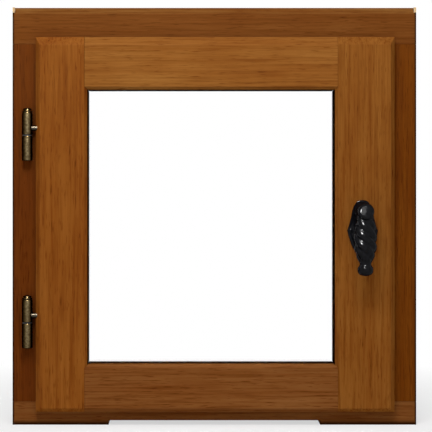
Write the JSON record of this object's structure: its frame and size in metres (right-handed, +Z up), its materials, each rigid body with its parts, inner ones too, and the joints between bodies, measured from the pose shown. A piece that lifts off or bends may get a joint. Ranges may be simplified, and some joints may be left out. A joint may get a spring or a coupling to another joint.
{
  "type": "casement window",
  "caption": "Inward-opening hardwood casement window: glazed sash on knuckle hinges in a rebated frame, with a turning handle that slides bolt rods.",
  "frame": {"origin": "bottom centre of the closed window's overall box, on the plane that the sill's feet stand on", "axes": "+Z up, +X to the right seen from the room, +Y from the room to the weather side"},
  "size_m": [0.5, 0.1376, 0.517],
  "materials": {
    "frame_hardwood": "stained red-brown hardwood under satin varnish",
    "sash_hardwood": "stained red-brown hardwood under satin varnish",
    "raw_softwood": "bare pale wood",
    "bronzed_steel": "antique bronze plating, satin",
    "bright_steel": "bright turned steel",
    "zinc_steel": "zinc-plated steel",
    "black_iron": "glossy black paint on wrought iron",
    "black_nylon": "moulded nylon",
    "black_rubber": "matt extruded rubber",
    "clear_glass": "clear float glass",
    "spacer_aluminium": "satin folded aluminium"
  },
  "bodies": {
    "frame": {"frame_head": "frame_hardwood", "frame_jamb_left": "frame_hardwood", "frame_jamb_right": "frame_hardwood", "frame_sill": "frame_hardwood", "frame_weather_seal": "black_rubber", "head_corner_block_left": "raw_softwood", "head_corner_block_right": "raw_softwood", "keeper_bottom": "zinc_steel", "keeper_bottom_screw_a": "zinc_steel", "keeper_bottom_screw_b": "zinc_steel", "keeper_top": "zinc_steel", "keeper_top_screw_a": "zinc_steel", "keeper_top_screw_b": "zinc_steel", "lower_hinge_frame_knuckle": "bronzed_steel", "lower_hinge_frame_stem": "bright_steel", "lower_hinge_pin": "bright_steel", "lower_hinge_washer": "black_nylon", "upper_hinge_frame_knuckle": "bronzed_steel", "upper_hinge_frame_stem": "bright_steel", "upper_hinge_pin": "bright_steel", "upper_hinge_washer": "black_nylon"},
    "sash": {"backplate_screw_left": "black_iron", "backplate_screw_right": "black_iron", "faceplate_screw_lower": "zinc_steel", "faceplate_screw_upper": "zinc_steel", "gearbox_case": "zinc_steel", "gearbox_cover": "zinc_steel", "glass_inner": "clear_glass", "glass_outer": "clear_glass", "glass_spacer": "spacer_aluminium", "glazing_bead_bottom": "sash_hardwood", "glazing_bead_left": "sash_hardwood", "glazing_bead_right": "sash_hardwood", "glazing_bead_top": "sash_hardwood", "glazing_seal_inner": "black_rubber", "glazing_seal_outer": "black_rubber", "handle_backplate": "black_iron", "handle_bush": "black_nylon", "lock_faceplate": "zinc_steel", "lower_hinge_cap": "bronzed_steel", "lower_hinge_sash_knuckle": "bronzed_steel", "lower_hinge_sash_stem": "bright_steel", "sash_rail_bottom": "sash_hardwood", "sash_rail_top": "sash_hardwood", "sash_stile_hinge": "sash_hardwood", "sash_stile_lock": "sash_hardwood", "setting_block_left": "black_nylon", "setting_block_right": "black_nylon", "upper_hinge_cap": "bronzed_steel", "upper_hinge_sash_knuckle": "bronzed_steel", "upper_hinge_sash_stem": "bright_steel", "weather_bar": "sash_hardwood"},
    "handle": {"handle_lever": "black_iron", "handle_spindle": "zinc_steel", "handle_grub_screw": "zinc_steel", "gearbox_pinion": "zinc_steel"},
    "upper_rod": {"upper_rod": "zinc_steel"},
    "lower_rod": {"lower_rod": "zinc_steel"}
  },
  "joints": [
    {"name": "sash_swing", "type": "hinge", "parent": "frame", "child": "sash", "pos_m": [-0.231, -0.01125, 0.2585], "axis": [0, 0, -1], "range_deg": [0, 170]},
    {"name": "handle_turn", "type": "hinge", "parent": "sash", "child": "handle", "pos_m": [0.1816, -0.01875, 0.2654], "axis": [0, 1, 0], "range_deg": [0, 90]},
    {"name": "upper_rod_slide", "type": "slide", "parent": "sash", "child": "upper_rod", "axis": [0, 0, -1], "range_m": [0, 0.0125]},
    {"name": "lower_rod_slide", "type": "slide", "parent": "sash", "child": "lower_rod", "axis": [0, 0, 1], "range_m": [0, 0.0125]}
  ],
  "couplings": [
    {"joint": "handle_turn", "follows": "upper_rod_slide", "rad_per_m": 125.41},
    {"joint": "lower_rod_slide", "follows": "upper_rod_slide", "ratio": 1}
  ]
}
